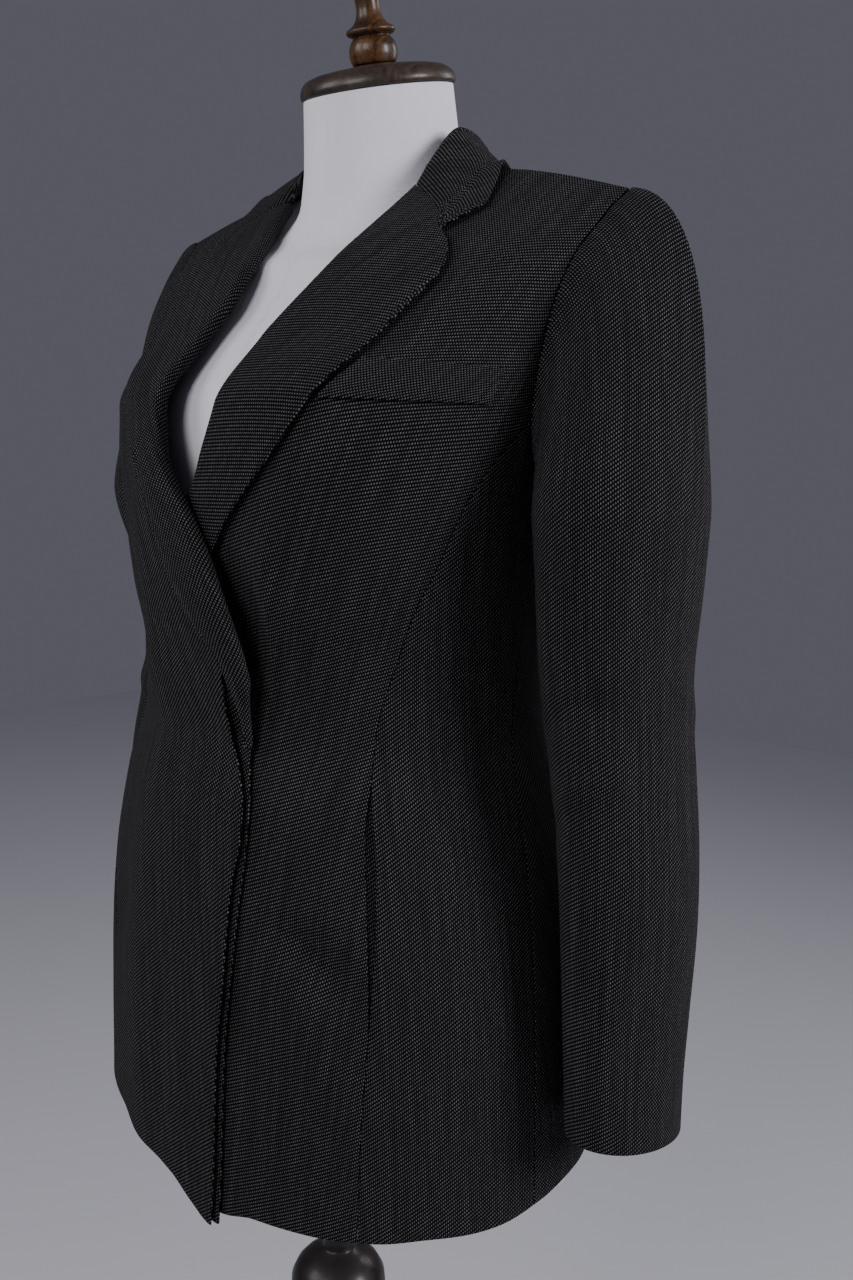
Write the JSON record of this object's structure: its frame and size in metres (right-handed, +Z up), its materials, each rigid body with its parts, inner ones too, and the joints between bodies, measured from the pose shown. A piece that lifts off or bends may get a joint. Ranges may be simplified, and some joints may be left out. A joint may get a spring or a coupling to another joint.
{
  "type": "blazer on a limbless dress form with a turned stand",
  "caption": "Fitted double-breasted blazer with notched lapels, worn by a limbless dress form on a turned wooden stand.",
  "frame": {"origin": "on the floor under the middle of the base", "axes": "+Z up; the wearer faces -Y; the wearer's left side is +X"},
  "size_m": [0.529, 0.36, 1.4569],
  "materials": {
    "suiting": "matt black wool with fine pale pin dots",
    "form_cloth": "smooth white cloth cover",
    "stand_wood": "dark stained and varnished turned wood"
  },
  "bodies": {
    "root": {"front_left": "suiting", "front_right": "suiting", "side_front_left": "suiting", "side_front_right": "suiting", "back_left": "suiting", "back_right": "suiting", "fly_right": "suiting", "lapel_left": "suiting", "lapel_right": "suiting", "collar": "suiting", "chest_welt": "suiting", "pocket_back_left": "suiting", "pocket_back_right": "suiting", "top_sleeve_left": "suiting", "under_sleeve_left": "suiting", "top_sleeve_right": "suiting", "under_sleeve_right": "suiting", "form_torso": "form_cloth", "neck_cap": "stand_wood", "finial": "stand_wood", "post": "stand_wood", "base": "stand_wood"}
  },
  "joints": []
}
